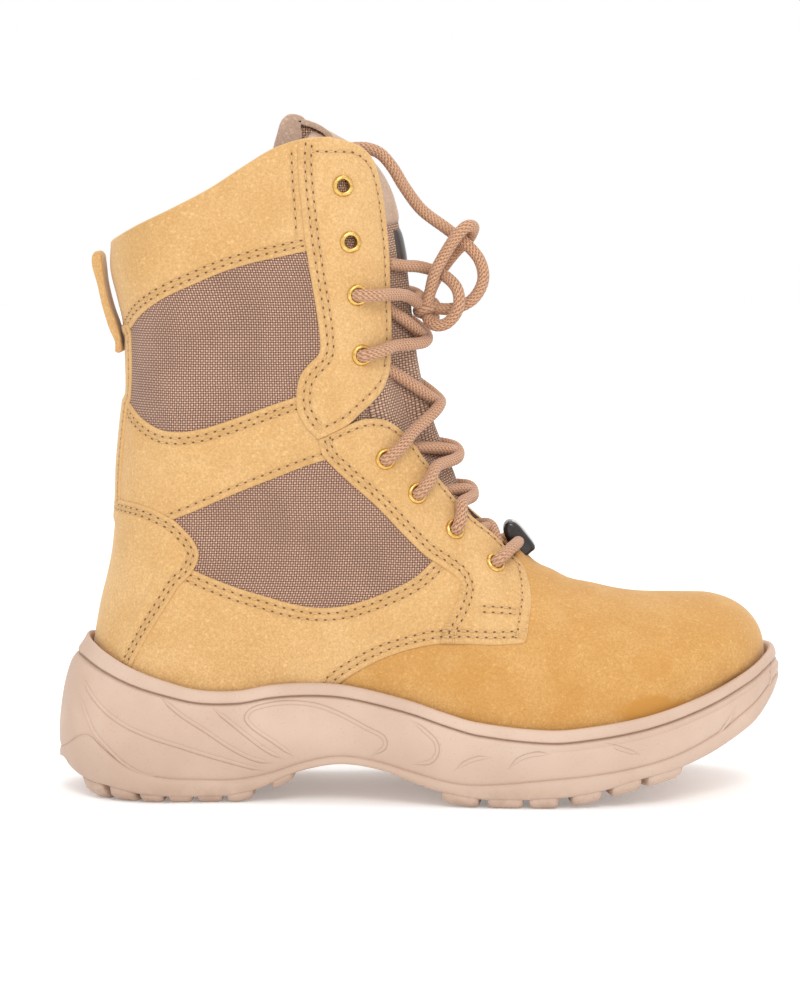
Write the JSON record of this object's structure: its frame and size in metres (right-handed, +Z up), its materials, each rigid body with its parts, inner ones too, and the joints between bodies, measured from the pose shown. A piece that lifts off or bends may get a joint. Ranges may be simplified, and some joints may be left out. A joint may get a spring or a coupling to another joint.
{
  "type": "combat boot",
  "caption": "High lace-up boot with a hollow upper, padded tongue, brass eyelets, round lace, collar tab and a thick cup sole with side lugs.",
  "frame": {"origin": "on the floor, in the middle of the boot's length and width; the free lace is left out of that box", "axes": "+X to the toe, +Y to the inner (medial) side of the right boot, +Z up"},
  "size_m": [0.3044, 0.1166, 0.2818],
  "materials": {
    "suede": "nubuck suede, dusty",
    "pale_suede": "pale suede",
    "fabric": "coarse weave",
    "sole": "matte, finely speckled",
    "lining": "dark mesh lining",
    "brass": "worn satin",
    "keeper": "glossy black",
    "lace": "round braid"
  },
  "bodies": {
    "root": {"upper": "suede", "midsole": "sole", "outsole": "sole", "insole": "lining", "tongue": "fabric", "eyelet_lateral_1": "brass", "eyelet_lateral_2": "brass", "eyelet_lateral_3": "brass", "eyelet_lateral_4": "brass", "eyelet_lateral_5": "brass", "eyelet_lateral_6": "brass", "eyelet_lateral_7": "brass", "eyelet_lateral_8": "brass", "eyelet_medial_1": "brass", "eyelet_medial_2": "brass", "eyelet_medial_3": "brass", "eyelet_medial_4": "brass", "eyelet_medial_5": "brass", "eyelet_medial_6": "brass", "eyelet_medial_7": "brass", "eyelet_medial_8": "brass", "tongue_loop": "pale_suede", "pull_tab": "suede", "lace_keeper": "keeper", "lace_bar": "lace", "lace_crossing_1": "lace", "lace_crossing_2": "lace", "lace_crossing_3": "lace", "lace_crossing_4": "lace", "lace_crossing_5": "lace", "lace_top_lateral": "lace", "lace_top_medial": "lace", "lace_knot": "lace", "lace_end": "lace", "lace_bow_loop": "lace", "lace_small_loop": "lace"}
  },
  "joints": []
}
